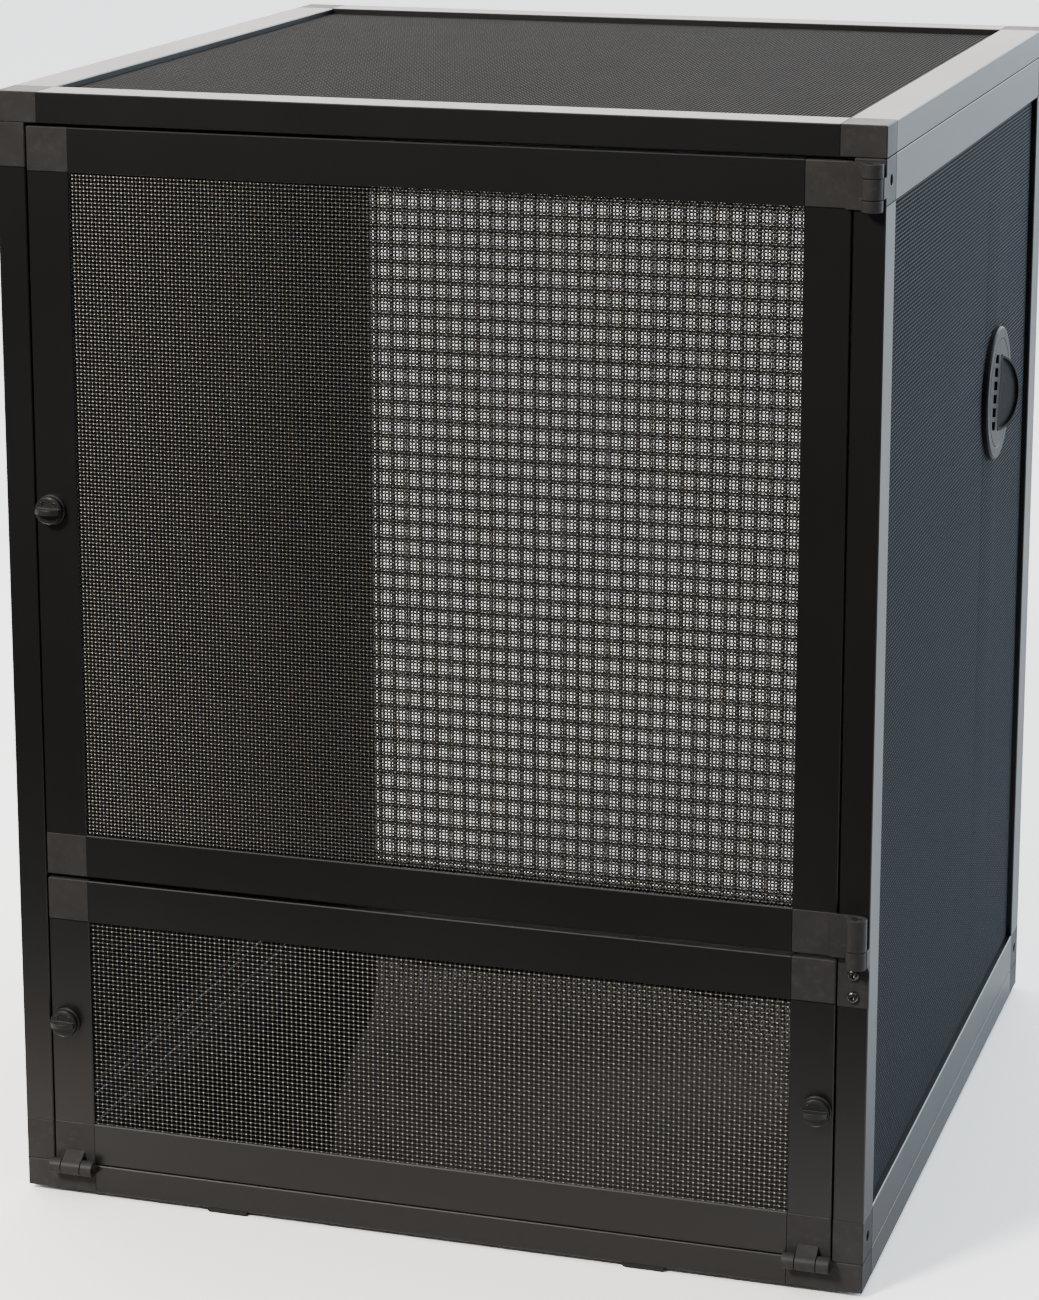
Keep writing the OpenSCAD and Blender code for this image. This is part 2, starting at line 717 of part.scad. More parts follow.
// The door's knuckle: its leaf slopes from the front of the barrel up to the face of the corner
module sill_leaf() {
    tangent = 35;
    clear = knuckle_gap / 2;
    difference() {
        translate([-barrel_mid_l / 2, 0, 0]) rotate([90, 0, 90]) linear_extrude(barrel_mid_l) {
            translate([sill_y, sill_z]) circle(r = sill_knuckle_r);
            polygon([
                [sill_y, sill_z], [face_y - clear, sill_z], [face_y - clear, lower_z + edge_c],
                [face_y + edge_c, lower_z + edge_c], [face_y + edge_c, sill_z + sill_leaf_h],
                [face_y - 2 * clear, sill_z + sill_leaf_h],
                [sill_y - sill_knuckle_r * cos(tangent), sill_z + sill_knuckle_r * sin(tangent)]
            ]);
        }
        translate([-barrel_l / 2, sill_y, sill_z]) rotate([0, 90, 0])
            cylinder(r = sill_pin_r + pin_fit, h = barrel_l);
    }
}
module lower_door_hinge_corners() {
    color(plastic) {
        on_lower_door() both_x(door_pw) corner(depth = door_mesh_depth);
        for (side = [-1, 1]) translate([side * barrel_x, 0, 0]) sill_leaf();
    }
}
module lower_door_mesh() { color(wire) on_lower_door() net(door_pw, lower_ph, door_mesh_depth); }
module lower_door_spline() { color(rubber) on_lower_door() spline(door_pw, lower_ph, door_mesh_depth); }

// Turn latches: a knob with a level grip in front, and a cam behind the stile that points up when unlocked and
// turns a quarter outwards, behind the post, to lock
module latch_bore(x, z) {
    translate([x, face_y - over, z]) rotate([-90, 0, 0]) cylinder(r = shaft_r + shaft_fit, h = rail_t + 2 * over);
}
module latch_knob(x, z) {
    cam_y = post_back + cam_gap;
    bead = 0.6;
    translate([x, face_y, z]) rotate([90, 0, 0]) {
        rotate_extrude() polygon([
            [0, knob_gap], [knob_r, knob_gap], [knob_r, 1.2], [knob_r - bead, 1.2 + bead], [knob_r - bead, knob_h - 0.8],
            [knob_r - bead - 0.8, knob_h], [0, knob_h]
        ]);
        grip_l = 2 * (knob_r - bead - 0.6);
        translate([0, grip_t / 2, 0]) rotate([90, 0, 0]) linear_extrude(grip_t) intersection() {
            translate([-grip_l / 2, knob_h - over]) square([grip_l, grip_h + over]);
            translate([0, knob_h + grip_h - grip_l * 0.62]) circle(r = grip_l * 0.62);
        }
        translate([0, 0, face_y - cam_y]) cylinder(r = shaft_r, h = cam_y - face_y + over);
        translate([0, 0, face_y - cam_y - cam_t - 0.4])
            linear_extrude(cam_t + 0.4 + over) shaft_end(shaft_r - 0.3);
    }
}
// Flat-sided end of the shaft, which the cam is pressed on
module shaft_end(r) {
    intersection() {
        circle(r = r);
        translate([-r, -r]) square([2 * r, 1.72 * r]);
    }
}
module latch_cam(x, z) {
    cam_y = post_back + cam_gap;
    translate([x, cam_y + cam_t, z]) rotate([90, 0, 0]) linear_extrude(cam_t)
        difference() {
            union() {
                circle(r = cam_r);
                translate([-cam_r + 1, 0]) square([2 * cam_r - 2, cam_reach - 3]);
                translate([-cam_r + 1 + 1.5, cam_reach - 3]) square([2 * cam_r - 5, 3]);
            }
            shaft_end(shaft_r - 0.3 + 0.05);
        }
}
module upper_latch_knob() { color(plastic) latch_knob(-latch_x, upper_latch_z); }
module upper_latch_cam() { color(plastic) latch_cam(-latch_x, upper_latch_z); }
module lower_left_latch_knob() { color(plastic) latch_knob(-latch_x, lower_latch_z); }
module lower_left_latch_cam() { color(plastic) latch_cam(-latch_x, lower_latch_z); }
module lower_right_latch_knob() { color(plastic) latch_knob(latch_x, lower_latch_z); }
module lower_right_latch_cam() { color(plastic) latch_cam(latch_x, lower_latch_z); }

// Screws sunk in the outer corners of the side panels. The rear ones go on into the back panel.
module corner_screw(shank_l) {
    pan_screw(bore_r - 0.2, 1.4, shank_l);
}
module corner_screws() {
    seat_x = side_x - bore_h;
    color(steel) for (side = [-1, 1], z = [base_top + rail_w / 2, lid_bottom - rail_w / 2])
        mirror([side > 0 ? 0 : 1, 0, 0]) {
            translate([seat_x, face_y + rail_w / 2, z]) rotate([0, 90, 0]) corner_screw(rail_t - bore_h - 1);
            translate([seat_x, rear_y - rail_w / 2, z]) rotate([0, 90, 0])
                corner_screw(rail_t - bore_h + rear_bite);
        }
}

// Port, drawn with its axis upwards, its face at zero, the rear of the cage to +X and up to +Y
module on_port() { translate([port_face, mid_y + port_y, port_z]) rotate([90, 0, 90]) children(); }
module port_ring() {
    taper = 1;
    color(plastic) on_port() rotate_extrude() polygon([
        [ring_bore, -rim_c], [ring_bore + rim_c, 0], [port_r - taper, 0], [port_r, -taper], [port_r, -port_t],
        [sleeve_r, -port_t], [sleeve_r, -port_t - sleeve_h], [cap_r - 2.4, -port_t - sleeve_h],
        [cap_r - 2.4, -port_t - sleeve_h + 1.6], [ring_bore, -port_t - sleeve_h + 1.6]
    ]);
}
module port_nut() {
    nut_h = 3;
    lobes = 12;
    color(plastic) on_port() translate([0, 0, -port_t - mesh_t - nut_h]) difference() {
        cylinder(r = port_r - 1, h = nut_h);
        translate([0, 0, -over]) cylinder(r = sleeve_r + leg_fit, h = nut_h + 2 * over);
        for (i = [0:lobes - 1]) rotate([0, 0, 360 * i / lobes])
            translate([port_r + 0.6, 0, -over]) cylinder(r = 2.4, h = nut_h + 2 * over);
    }
}
// The cap: a skirted disc with a recess and a half-moon passage under the flap, and vent slots beside them
module port_cap() {
    hole_r = flap_r - 2.4;
    well = flap_t + flap_gap;
    slot_r = cap_r - 3.4;
    color(plastic) on_port() rotate([0, 0, -cap_turn]) difference() {
        union() {
            translate([0, 0, -cap_t]) rotate_extrude()
                polygon([[0, 0], [cap_r, 0], [cap_r, cap_t - rim_c], [cap_r - rim_c, cap_t], [0, cap_t]]);
            translate([0, 0, -port_t - sleeve_h + 1.6 + tuck]) difference() {
                cylinder(r = cap_r, h = port_t + sleeve_h - 1.6 - tuck);
                translate([0, 0, -over]) cylinder(r = cap_r - 1.6, h = port_t + sleeve_h);
            }
        }
        half_moon(flap_r + flap_gap, -well, well + over, barrel_room());
        half_moon(hole_r, -cap_t - over, cap_t + over, -0.5);
        trunnion_line(flap_r + 2.6) cylinder(r = trunnion_r + pin_fit, h = 2 * (flap_r + 2.6));
        for (i = [0:slot_count - 1]) intersection() {
            translate([-slot_x - slot_l / 2, (i - (slot_count - 1) / 2) * slot_pitch - slot_h / 2, -cap_t - over])
                cube([slot_l, slot_h, cap_t + 2 * over]);
            translate([0, 0, -cap_t - over]) cylinder(r = slot_r, h = cap_t + 2 * over);
        }
    }
}
// Half disc on the +X side, reaching past its diameter by a little more, between two heights
module half_moon(r, z, h, more) {
    intersection() {
        translate([0, 0, z]) cylinder(r = r, h = h);
        translate([-more, -r - over, z]) cube([r + more + over, 2 * r + 2 * over, h]);
    }
}
function barrel_room() = flap_t / 2 + flap_gap;
// Axis of the flap's hinge, up through the cap's diameter
module trunnion_line(half) { translate([0, -half, -flap_t / 2]) rotate([-90, 0, 0]) children(); }
module port_flap() {
    color(plastic) on_port() rotate([0, 0, -cap_turn])
        translate([0, 0, -flap_t / 2]) rotate([0, -flap_open, 0]) translate([0, 0, flap_t / 2]) {
            difference() {
                union() {
                    half_moon(flap_r, -flap_t, flap_t, 0);
                    trunnion_line(flap_r - 1) cylinder(r = flap_t / 2, h = 2 * (flap_r - 1));
                }
                half_moon(flap_r - flap_rim, -flap_dish, flap_dish + over, -flap_t / 2 - 0.4);
            }
            trunnion_line(flap_r + 2.2) cylinder(r = trunnion_r, h = 2 * (flap_r + 2.2));
        }
}

base_front_rail();
base_rear_rail();
base_side_rails();
base_left_hinge_corner();
base_right_hinge_corner();
base_rear_corners();
floor_sheet();
feet();
left_front_post();
left_rear_post();
left_panel_rails();
left_panel_corners();
left_mesh();
left_spline();
right_front_post();
right_rear_post();
right_panel_rails();
right_panel_corners();
right_hinge_corner();
right_mesh();
right_spline();
back_stiles();
back_rails();
back_corners();
back_mesh();
back_spline();
lid_front_rear_rails();
lid_side_rails();
lid_corners();
lid_mesh();
lid_spline();
upper_door_left_stile();
upper_door_right_stile();
upper_door_rails();
upper_door_corners();
upper_door_top_hinge_corner();
upper_door_bottom_hinge_corner();
upper_door_mesh();
upper_door_spline();
lower_door_stiles();
lower_door_rails();
lower_door_corners();
lower_door_hinge_corners();
lower_door_mesh();
lower_door_spline();
hinge_bracket();
bracket_screws();
upper_hinge_pins();
lower_hinge_pins();
upper_latch_knob();
upper_latch_cam();
lower_left_latch_knob();
lower_left_latch_cam();
lower_right_latch_knob();
lower_right_latch_cam();
corner_screws();
port_ring();
port_nut();
port_cap();
port_flap();
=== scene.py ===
"""Finishes and fine parts for a front-opening mesh terrarium, laid out as an add-on and run as a script."""
import json
import math

import bpy
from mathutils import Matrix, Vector

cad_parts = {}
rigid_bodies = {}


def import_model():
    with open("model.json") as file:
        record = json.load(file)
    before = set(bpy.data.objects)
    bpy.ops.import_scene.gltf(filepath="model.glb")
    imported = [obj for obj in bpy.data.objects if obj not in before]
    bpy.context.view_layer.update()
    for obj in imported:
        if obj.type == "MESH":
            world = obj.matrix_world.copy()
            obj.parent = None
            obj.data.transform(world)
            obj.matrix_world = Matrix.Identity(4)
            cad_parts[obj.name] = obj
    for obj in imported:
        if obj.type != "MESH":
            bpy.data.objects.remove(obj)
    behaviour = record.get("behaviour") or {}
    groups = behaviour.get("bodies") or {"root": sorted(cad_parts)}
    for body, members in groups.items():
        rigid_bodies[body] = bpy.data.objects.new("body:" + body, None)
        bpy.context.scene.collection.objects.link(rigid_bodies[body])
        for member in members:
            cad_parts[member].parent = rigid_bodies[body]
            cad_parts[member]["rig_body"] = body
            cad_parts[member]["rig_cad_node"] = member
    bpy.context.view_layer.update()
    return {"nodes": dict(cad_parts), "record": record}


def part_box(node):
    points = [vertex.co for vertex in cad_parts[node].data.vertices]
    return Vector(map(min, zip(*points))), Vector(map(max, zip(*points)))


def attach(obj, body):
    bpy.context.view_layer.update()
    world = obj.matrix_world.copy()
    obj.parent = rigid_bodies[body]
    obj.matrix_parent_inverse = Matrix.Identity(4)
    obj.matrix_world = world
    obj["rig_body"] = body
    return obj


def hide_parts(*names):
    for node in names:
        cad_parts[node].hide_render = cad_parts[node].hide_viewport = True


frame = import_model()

bl_info = {
    "name": "Mesh terrarium finishes",
    "version": (1, 0, 0),
    "blender": (4, 5, 0),
    "location": "3D View > Sidebar > Terrarium",
    "description": "Fine wire mesh, moulded edges, latches, port and finishes for a mesh terrarium",
    "category": "Object",
}

MM = 0.001
AXES = (Vector((1, 0, 0)), Vector((0, 1, 0)), Vector((0, 0, 1)))

RAILS = (
    "base_front_rail", "base_rear_rail", "base_side_rails", "left_front_post", "left_rear_post",
    "left_panel_rails", "right_front_post", "right_rear_post", "right_panel_rails", "back_stiles",
    "back_rails", "lid_front_rear_rails", "lid_side_rails", "upper_door_left_stile",
    "upper_door_right_stile", "upper_door_rails", "lower_door_stiles", "lower_door_rails",
)
CORNERS = (
    "base_rear_corners", "left_panel_corners", "right_panel_corners", "back_corners", "lid_corners",
    "upper_door_corners", "lower_door_corners",
)
HINGE_PARTS = (
    "base_left_hinge_corner", "base_right_hinge_corner", "right_hinge_corner",
    "upper_door_top_hinge_corner", "upper_door_bottom_hinge_corner", "lower_door_hinge_corners",
    "hinge_bracket",
)
SPLINES = (
    "left_spline", "right_spline", "back_spline", "lid_spline", "upper_door_spline", "lower_door_spline",
)
PINS = ("upper_hinge_pins", "lower_hinge_pins", "bracket_screws", "corner_screws")
LATCHES = ("upper_latch", "lower_left_latch", "lower_right_latch")
PORT_PARTS = ("port_ring", "port_nut", "port_cap", "port_flap")

# Widths of the rounded edges

HINGE_EDGE = 0.25 * MM
PIN_EDGE = 0.12 * MM
FOOT_EDGE = 0.3 * MM
KNOB_EDGE = 0.2 * MM
CAM_EDGE = 0.25 * MM
PORT_EDGE = 0.3 * MM
SEAM_SHADOW_EDGE = 0.1 * MM

# Merging and shading of the copies

WELD = 0.004 * MM
FLAT_DEGREES = 0.6
EDGE_DEGREES = 40
MOULDED_DEGREES = 45
ROUND_DEGREES = 60

# Latch knobs: FACE_BACK is how far a knob's face lies behind the front of its grip

FACE_BACK = 4.5 * MM
ARC_RADIUS = 5.1 * MM
ARC_BEAD = 0.3 * MM
ARC_START = math.radians(45)
END_RADIUS = 0.75 * MM
END_BEAD = 0.28 * MM
RIM_RADIUS = 6.75 * MM
RIM_BEAD = 0.45 * MM
RIM_BACK = 0.35 * MM
KNURL_RADIUS = 7.15 * MM
KNURL_BEAD = 0.22 * MM
KNURL_LENGTH = 2.0 * MM
KNURL_BACK = 2.0 * MM
KNURL_COUNT = 60

# Hole in the right panel's mesh: PORT_FLANGE is how far the port's ring reaches past it

PORT_FLANGE = 5.5 * MM
HOLE_DEPTH = 20 * MM

# Floor sheet: one ridge along the sheet, which rises towards the front

RIDGE_X = -100 * MM
RIDGE_WIDTH = 50 * MM
RIDGE_HEIGHT = 5 * MM
RIDGE_REAR, RIDGE_FRONT = 140 * MM, -60 * MM

# Wire knuckles: colour of the painted highlights on them, and the two x places between which their strength
# changes; it is even beyond

KNUCKLE_HIGHLIGHT = (0.92, 0.84, 0.69)
HIGHLIGHT_LEFT, HIGHLIGHT_MIDDLE = -190 * MM, -40 * MM

# Camera: AXIS_ROW is the row of the photograph that the camera's axis falls on

CAMERA_PLACE = (0.5593, -1.8747, 0.8069)
CAMERA_DOWN = math.radians(12.841)
CAMERA_TURN = math.radians(17.184)
PHOTO_HEIGHT = 1300
FOCAL_PIXELS = 3667.96
AXIS_ROW = 465
SENSOR = 36

# Studio

FLOOR_SIZE = 12
FLOOR_PLACE = (0, 2.0, -0.2 * MM)
LIGHT_AIM = Vector((0, 0, 0.3))
WHITE = (1.0, 1.0, 1.0)
WARM_LAMP = (1.0, 0.93, 0.82)
WARM_WALL = (1.0, 0.94, 0.87)
COOL_WALL = (0.70, 0.86, 1.0)
ROSE_WALL = (1.0, 0.92, 1.0)
COOL_FLOOR = (0.88, 0.94, 1.0)
DARK_FLOOR = (0.04, 0.04, 0.04)
COOL_GAIN = 1.15


# Sizes and colours that a user may change

class WireSizes(bpy.types.PropertyGroup):
    """Pitch and thickness of the woven wires"""
    door_across: bpy.props.FloatProperty(
        name="Door pitch across", description="Distance between upright wires of the upper door",
        default=2.01 * MM, min=1 * MM, max=6 * MM, unit="LENGTH", precision=5)
    door_up: bpy.props.FloatProperty(
        name="Door pitch up", description="Distance between level wires of the upper door",
        default=1.93 * MM, min=1 * MM, max=6 * MM, unit="LENGTH", precision=5)
    door_wire: bpy.props.FloatProperty(
        name="Door wire", description="Thickness of a wire of the upper door",
        default=1.04 * MM, min=0.2 * MM, max=1.2 * MM, unit="LENGTH", precision=5)
    low_across: bpy.props.FloatProperty(
        name="Lower door pitch across", description="Distance between upright wires of the lower door",
        default=2.6 * MM, min=1 * MM, max=6 * MM, unit="LENGTH", precision=5)
    low_up: bpy.props.FloatProperty(
        name="Lower door pitch up", description="Distance between level wires of the lower door",
        default=2.24 * MM, min=1 * MM, max=6 * MM, unit="LENGTH", precision=5)
    low_wire: bpy.props.FloatProperty(
        name="Lower door wire", description="Thickness of a wire of the lower door",
        default=0.8 * MM, min=0.2 * MM, max=0.8 * MM, unit="LENGTH", precision=5)
    panel_pitch: bpy.props.FloatProperty(
        name="Panel pitch", description="Distance between the wires of the side, back and lid panels",
        default=2.0 * MM, min=1 * MM, max=6 * MM, unit="LENGTH", precision=5)
    panel_wire: bpy.props.FloatProperty(
        name="Panel wire", description="Thickness of a wire of the side, back and lid panels",
        default=1.04 * MM, min=0.2 * MM, max=1.2 * MM, unit="LENGTH", precision=5)


class FinishColours(bpy.types.PropertyGroup):
    """Base colours of the materials"""
    paint: bpy.props.FloatVectorProperty(
        name="Frame paint", description="Satin paint of the tube frames", subtype="COLOR",
        default=(0.0052, 0.0048, 0.0051), min=0, max=1)
    moulding: bpy.props.FloatVectorProperty(
        name="Mouldings", description="Moulded corners and hinges", subtype="COLOR",
        default=(0.036, 0.035, 0.036), min=0, max=1)
    wire: bpy.props.FloatVectorProperty(
        name="Wire", description="Coated wire of the mesh", subtype="COLOR",
        default=(0.010, 0.0102, 0.011), min=0, max=1)
    # The right panel's wire is lighter and bluer than the same wire on the other panels: painted cool light
    # falling on that side
    lit_side_wire: bpy.props.FloatVectorProperty(
        name="Side wire", description="Coated wire of the right panel", subtype="COLOR",
        default=(0.020, 0.024, 0.031), min=0, max=1)
    sheet: bpy.props.FloatVectorProperty(
        name="Floor sheet", description="Glossy sheet on the floor", subtype="COLOR",
        default=(0.008, 0.008, 0.009), min=0, max=1)
    rubber: bpy.props.FloatVectorProperty(
        name="Rubber", description="Feet and mesh strips", subtype="COLOR",
        default=(0.012, 0.012, 0.012), min=0, max=1)
    steel: bpy.props.FloatVectorProperty(
        name="Screw steel", description="Blackened screws and pins", subtype="COLOR",
        default=(0.10, 0.10, 0.105), min=0, max=1)


class StudioSettings(bpy.types.PropertyGroup):
    """Floor, surround and lights"""
    floor: bpy.props.FloatVectorProperty(
        name="Floor", description="Pale floor of the studio", subtype="COLOR",
        default=(0.74, 0.71, 0.70), min=0, max=1)
    behind: bpy.props.FloatProperty(
        name="Surround behind", description="Brightness of the surround behind the terrarium",
        default=4.5, min=0, max=10)
    ahead: bpy.props.FloatProperty(
        name="Surround ahead", description="Brightness of the surround in front of the terrarium",
        default=0.11, min=0, max=10)
    overhead: bpy.props.FloatProperty(
        name="Surround overhead", description="Brightness of the surround straight above",
        default=0.75, min=0, max=10)
    open_view: bpy.props.FloatProperty(
        name="Surround seen", description="Brightness of the surround that the camera sees",
        default=2.4, min=0, max=100)
    lift: bpy.props.FloatProperty(
        name="Floor lift", description="How bright the camera sees the floor",
        default=2.2, min=0, max=100)
    softbox: bpy.props.FloatProperty(
        name="Softbox", description="Power of the softbox above",
        default=12, min=0, max=2000, unit="POWER")
    key: bpy.props.FloatProperty(
        name="Key light", description="Power of the small light in front",
        default=100, min=0, max=2000, unit="POWER")


# Shader maths as expressions

class Wired:
    """A socket that can stand in an expression."""

    def __init__(self, maker, socket):
        self.maker = maker
        self.socket = socket

    def _math(self, operation, *values):
        return self.maker.node("ShaderNodeMath", {"operation": operation}, dict(enumerate(values)))

    def __add__(self, other):
        return self._math("ADD", self, other)

    def __radd__(self, other):
        return self._math("ADD", other, self)

    def __sub__(self, other):
        return self._math("SUBTRACT", self, other)

    def __rsub__(self, other):
        return self._math("SUBTRACT", other, self)

    def __mul__(self, other):
        return self._math("MULTIPLY", self, other)

    def __rmul__(self, other):
        return self._math("MULTIPLY", other, self)

    def __truediv__(self, other):
        return self._math("DIVIDE", self, other)

    def __rtruediv__(self, other):
        return self._math("DIVIDE", other, self)

    def cosine(self):
        return self._math("COSINE", self)

    def size(self):
        return self._math("ABSOLUTE", self)


class Maker:
    """Makes the nodes of one tree."""

    def __init__(self, tree):
        self.tree = tree
        tree.nodes.clear()

    def node(self, kind, settings=None, sockets=None, out=0):
        """A new node with its settings, then its socket values and links; gives one of its outputs."""
        made = self.tree.nodes.new(kind)
        for name, value in (settings or {}).items():
            setattr(made, name, value)
        for key, value in (sockets or {}).items():
            socket = made.inputs[key]
            if isinstance(value, Wired):
                self.tree.links.new(value.socket, socket)
            else:
                socket.default_value = value
        return Wired(self, made.outputs[out]) if made.outputs else None

    def place(self):
        return self.node("ShaderNodeTexCoord", out="Object")

    def camera_ray(self):
        return self.node("ShaderNodeLightPath", out="Is Camera Ray")

    def noise(self, where, scale, detail=2.0, roughness=0.5):
        return self.node(
            "ShaderNodeTexNoise", None,
            {"Vector": where, "Scale": scale, "Detail": detail, "Roughness": roughness}, "Fac")

    def split(self, where):
        """The x, y and z of a place."""
        apart = self.node("ShaderNodeSeparateXYZ", None, {0: where}).socket.node
        return [Wired(self, output) for output in apart.outputs]

    def spread(self, value, low, high, to_low=0.0, to_high=1.0):
        """A soft step from to_low to to_high, where the value goes from low to high."""
        return self.node(
            "ShaderNodeMapRange", {"interpolation_type": "SMOOTHSTEP", "clamp": True},
            {"Value": value, "From Min": low, "From Max": high, "To Min": to_low, "To Max": to_high})

    def blend(self, factor, first, second):
        """Two colours blended by a factor."""
        def full(colour):
            return colour if isinstance(colour, Wired) else (*colour, 1.0)
        return self.node(
            "ShaderNodeMix", {"data_type": "RGBA"}, {0: factor, 6: full(first), 7: full(second)}, out=2)

    def mix(self, factor, first, second):
        """Two shaders mixed by a factor."""
        return self.node("ShaderNodeMixShader", None, {0: factor, 1: first, 2: second})

    def bump(self, height, distance, strength=1.0):
        return self.node(
            "ShaderNodeBump", None, {"Height": height, "Distance": distance, "Strength": strength})

    def matte(self, colour):
        return self.node("ShaderNodeBsdfDiffuse", None, {"Color": (*colour, 1.0)})

    def glow(self, colour, strength):
        return self.node("ShaderNodeBackground", None, {"Color": (*colour, 1.0), "Strength": strength})


class Finish(Maker):
    """One material."""

    def __init__(self, name):
        old = bpy.data.materials.get(name)
        if old is not None:
            bpy.data.materials.remove(old)
        self.material = bpy.data.materials.new(name)
        self.material.use_nodes = True
        super().__init__(self.material.node_tree)

    def surface(self, **sockets):
        """Ends the material in a Principled surface; an underscore stands for a space."""
        named = {key.replace("_", " "): value for key, value in sockets.items()}
        return self.end_in(self.node("ShaderNodeBsdfPrincipled", None, named))

    def end_in(self, shader):
        self.node("ShaderNodeOutputMaterial", None, {"Surface": shader})
        return self.material


def shade(colour, factor):
    return tuple(min(1.0, channel * factor) for channel in colour)


def satin_paint(colour):
    """Satin powder paint: a fine skin, faint clouds of gloss and a little dust."""
    finish = Finish("satin_paint")
    where = finish.place()
    clouds = finish.noise(where, scale=9, detail=3)
    skin = finish.noise(where, scale=1400, detail=2)
    dust = finish.spread(finish.noise(where, scale=2600, detail=1), 0.74, 0.80)
    tone = finish.blend(clouds, shade(colour, 0.85), shade(colour, 1.2))
    return finish.surface(
        Base_Color=finish.blend(dust * 0.25, tone, (0.10, 0.10, 0.10)),
        Roughness=0.26 + clouds * 0.08 + skin * 0.04,
        Specular_IOR_Level=0.75,
        Normal=finish.bump(skin, distance=0.02 * MM, strength=0.5),
    )


def moulded_plastic(name, colour, grain=2200, rough=0.46, gloss=0.22):
    """Moulded plastic with a fine spark-eroded grain and uneven gloss."""
    finish = Finish(name)
    where = finish.place()
    clouds = finish.noise(where, scale=60, detail=4, roughness=0.6)
    specks = finish.noise(where, scale=grain, detail=3, roughness=0.6)
    scuffs = finish.spread(finish.noise(where, scale=240, detail=5, roughness=0.7), 0.50, 0.72)
    tone = finish.blend(clouds, shade(colour, 0.75), shade(colour, 1.25))
    return finish.surface(
        Base_Color=finish.blend(scuffs * 0.16, tone, (0.10, 0.10, 0.105)),
        Roughness=rough - 0.12 + clouds * 0.20 + specks * 0.08,
        Specular_IOR_Level=gloss,
        Normal=finish.bump(specks, distance=0.04 * MM, strength=0.6),
    )


def coated_wire(name, colour, pitches, axes, starts, gloss, highlight_strength):
    """Coated wire whose crimps stand as ripples at the pitch of the weave, with painted highlights on the
    knuckles.

    The last argument gives how strong the painted highlights on the knuckles are at the left of the front
    and from near its middle on.
    """
    finish = Finish(name)
    where = finish.place()
    parts = finish.split(where)
    level, upright = (
        (parts[axis] - start) * (math.pi / pitch)
        for axis, start, pitch in zip(axes, starts, pitches))
    weave = level.cosine() * upright.cosine()
    clouds = finish.noise(where, scale=30, detail=2)
    # Painted highlights: a pale warm colour on the raised knuckle at each crossing, in random patches,
    # stronger at the left of the front
    wear_and_highlight = finish.spread(finish.noise(where, scale=900, detail=2), 0.3, 0.6, 0.7, 1.0)
    painted_highlight = wear_and_highlight * finish.spread(parts[0], HIGHLIGHT_LEFT, HIGHLIGHT_MIDDLE, *highlight_strength)
    crossing = finish.spread(weave.size(), 0.82, 0.96)
    raised = finish.spread(weave, -0.5, 0.5, 0.4, 1.0)
    tone = finish.blend(clouds, shade(colour, 0.8), shade(colour, 1.3))
    return finish.surface(
        Base_Color=finish.blend(crossing * raised * painted_highlight, tone, KNUCKLE_HIGHLIGHT),
        Roughness=0.50 - gloss * 0.4 + clouds * 0.08,
        Specular_IOR_Level=gloss,
        Normal=finish.bump(weave, distance=0.16 * MM),
    )


def floor_plastic(colour):
    """Glossy thin sheet that bows in one ridge and slow waves, with fine scuffs."""
    finish = Finish("floor_plastic")
    where = finish.place()
    x, y = finish.split(where)[:2]
    ridge = ((x - RIDGE_X) / RIDGE_WIDTH + 1.5 * math.pi).cosine()
    bow = ridge * finish.spread(y, RIDGE_REAR, RIDGE_FRONT) * RIDGE_HEIGHT
    waves = finish.noise(where, scale=9, detail=1, roughness=0.4) * (2 * MM)
    scuffs = finish.spread(finish.noise(where, scale=90, detail=6, roughness=0.75), 0.55, 0.8)
    return finish.surface(
        Base_Color=finish.blend(scuffs * 0.2, colour, (0.05, 0.05, 0.052)),
        Roughness=0.05 + scuffs * 0.10,
        Specular_IOR_Level=0.025,
        Normal=finish.bump(waves - bow, distance=1.0),
    )


def soft_rubber(colour):
    """Matte rubber with a fine bloom."""
    finish = Finish("soft_rubber")
    bloom = finish.noise(finish.place(), scale=300, detail=4, roughness=0.6)
    return finish.surface(
        Base_Color=finish.blend(bloom, shade(colour, 0.7), shade(colour, 1.5)),
        Roughness=0.62 + bloom * 0.2,
        Normal=finish.bump(bloom, distance=0.05 * MM, strength=0.5),
    )


def seam_shadow_paint():
    """Dull black for the strips that paint the shade in the seams."""
    finish = Finish("seam_shadow_paint")
    # Painted shade: near-black with a faint random mottle
    shadow_mottle = finish.noise(finish.place(), scale=200, detail=3)
    return finish.surface(
        Base_Color=finish.blend(shadow_mottle, (0.0015, 0.0015, 0.0015), (0.004, 0.004, 0.004)),
        Roughness=0.8 + shadow_mottle * 0.2,
        Specular_IOR_Level=0.02,
    )


def blackened_steel(colour):
    """Blackened steel with worn bright spots."""
    finish = Finish("blackened_steel")
    wear_and_highlight = finish.spread(finish.noise(finish.place(), scale=700, detail=4, roughness=0.65), 0.5, 0.72)
    return finish.surface(
        Base_Color=finish.blend(wear_and_highlight, colour, shade(colour, 3.0)),
        Metallic=0.9,
        Roughness=0.24 + wear_and_highlight * 0.14,
        Normal=finish.bump(wear_and_highlight, distance=0.03 * MM, strength=0.4),
    )


# Modelling helpers

def deselect_all():
    if bpy.context.object is not None and bpy.context.object.mode != "OBJECT":
        bpy.ops.object.mode_set(mode="OBJECT")
    bpy.ops.object.select_all(action="DESELECT")


def make_active(piece):
    deselect_all()
    piece.select_set(True)
    bpy.context.view_layer.objects.active = piece


def keep_place(piece):
    """Moves the object's place into its mesh."""
    make_active(piece)
    bpy.ops.object.transform_apply(location=True, rotation=True, scale=True)


def apply_modifiers(piece):
    make_active(piece)
    for modifier in list(piece.modifiers):
        bpy.ops.object.modifier_apply(modifier=modifier.name)


